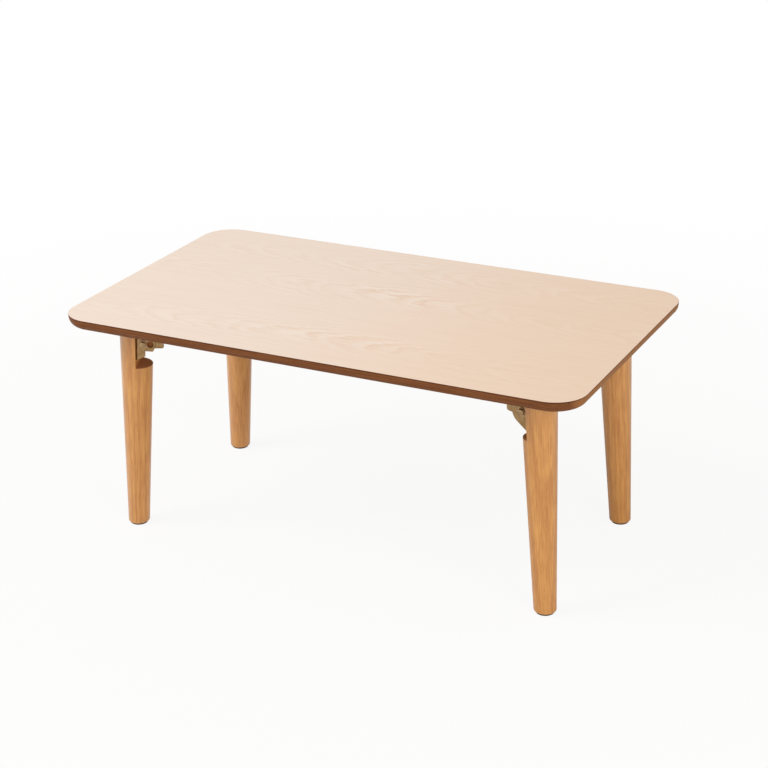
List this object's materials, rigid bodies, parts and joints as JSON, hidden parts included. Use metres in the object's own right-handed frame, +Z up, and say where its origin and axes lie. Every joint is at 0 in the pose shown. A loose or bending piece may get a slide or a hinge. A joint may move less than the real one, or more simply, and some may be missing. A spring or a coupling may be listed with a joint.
{
  "type": "folding low floor table",
  "caption": "Low rectangular floor table with a thin round-cornered wood-grain top and tapered splayed legs that fold flat on riveted steel brackets.",
  "frame": {"origin": "on the floor under the middle of the top", "axes": "+X along the top's length, +Y across its depth, +Z up"},
  "size_m": [0.7, 0.4, 0.308],
  "materials": {
    "face_laminate": "pale wood-grain laminate, satin",
    "edge_lacquer": "dark brown lacquered edge, satin",
    "backing_paper": "brown backing sheet, matt",
    "leg_wood": "warm brown lacquered hardwood, satin",
    "bracket_steel": "yellow-passivated zinc plate",
    "rivet_steel": "zinc plate",
    "screw_steel": "zinc plate",
    "foot_felt": "dark felt"
  },
  "bodies": {
    "tabletop": {"tabletop_core": "edge_lacquer", "tabletop_laminate": "face_laminate", "tabletop_backing": "backing_paper", "table_bracket_front_left": "bracket_steel", "pivot_pin_front_left": "rivet_steel", "spacer_bush_front_left": "rivet_steel", "friction_washer_a_front_left": "rivet_steel", "friction_washer_b_front_left": "rivet_steel", "board_screw_1_front_left": "screw_steel", "board_screw_2_front_left": "screw_steel", "board_screw_3_front_left": "screw_steel", "board_screw_4_front_left": "screw_steel", "table_bracket_front_right": "bracket_steel", "pivot_pin_front_right": "rivet_steel", "spacer_bush_front_right": "rivet_steel", "friction_washer_a_front_right": "rivet_steel", "friction_washer_b_front_right": "rivet_steel", "board_screw_1_front_right": "screw_steel", "board_screw_2_front_right": "screw_steel", "board_screw_3_front_right": "screw_steel", "board_screw_4_front_right": "screw_steel", "table_bracket_back_left": "bracket_steel", "pivot_pin_back_left": "rivet_steel", "spacer_bush_back_left": "rivet_steel", "friction_washer_a_back_left": "rivet_steel", "friction_washer_b_back_left": "rivet_steel", "board_screw_1_back_left": "screw_steel", "board_screw_2_back_left": "screw_steel", "board_screw_3_back_left": "screw_steel", "board_screw_4_back_left": "screw_steel", "table_bracket_back_right": "bracket_steel", "pivot_pin_back_right": "rivet_steel", "spacer_bush_back_right": "rivet_steel", "friction_washer_a_back_right": "rivet_steel", "friction_washer_b_back_right": "rivet_steel", "board_screw_1_back_right": "screw_steel", "board_screw_2_back_right": "screw_steel", "board_screw_3_back_right": "screw_steel", "board_screw_4_back_right": "screw_steel"},
    "leg_front_left": {"leg_front_left": "leg_wood", "leg_bracket_front_left": "bracket_steel", "foot_pad_front_left": "foot_felt", "leg_screw_1_front_left": "screw_steel", "leg_screw_2_front_left": "screw_steel"},
    "leg_front_right": {"leg_front_right": "leg_wood", "leg_bracket_front_right": "bracket_steel", "foot_pad_front_right": "foot_felt", "leg_screw_1_front_right": "screw_steel", "leg_screw_2_front_right": "screw_steel"},
    "leg_back_left": {"leg_back_left": "leg_wood", "leg_bracket_back_left": "bracket_steel", "foot_pad_back_left": "foot_felt", "leg_screw_1_back_left": "screw_steel", "leg_screw_2_back_left": "screw_steel"},
    "leg_back_right": {"leg_back_right": "leg_wood", "leg_bracket_back_right": "bracket_steel", "foot_pad_back_right": "foot_felt", "leg_screw_1_back_right": "screw_steel", "leg_screw_2_back_right": "screw_steel"}
  },
  "joints": [
    {"name": "fold_front_left", "type": "hinge", "parent": "tabletop", "child": "leg_front_left", "pos_m": [-0.26887, -0.12347, 0.2635], "axis": [0.3746, -0.9272, 0], "range_deg": [0, 93.5]},
    {"name": "fold_front_right", "type": "hinge", "parent": "tabletop", "child": "leg_front_right", "pos_m": [0.26887, -0.12347, 0.2635], "axis": [0.3746, 0.9272, 0], "range_deg": [0, 93.5]},
    {"name": "fold_back_left", "type": "hinge", "parent": "tabletop", "child": "leg_back_left", "pos_m": [-0.26887, 0.12347, 0.2635], "axis": [-0.3746, -0.9272, 0], "range_deg": [0, 93.5]},
    {"name": "fold_back_right", "type": "hinge", "parent": "tabletop", "child": "leg_back_right", "pos_m": [0.26887, 0.12347, 0.2635], "axis": [-0.3746, 0.9272, 0], "range_deg": [0, 93.5]}
  ]
}
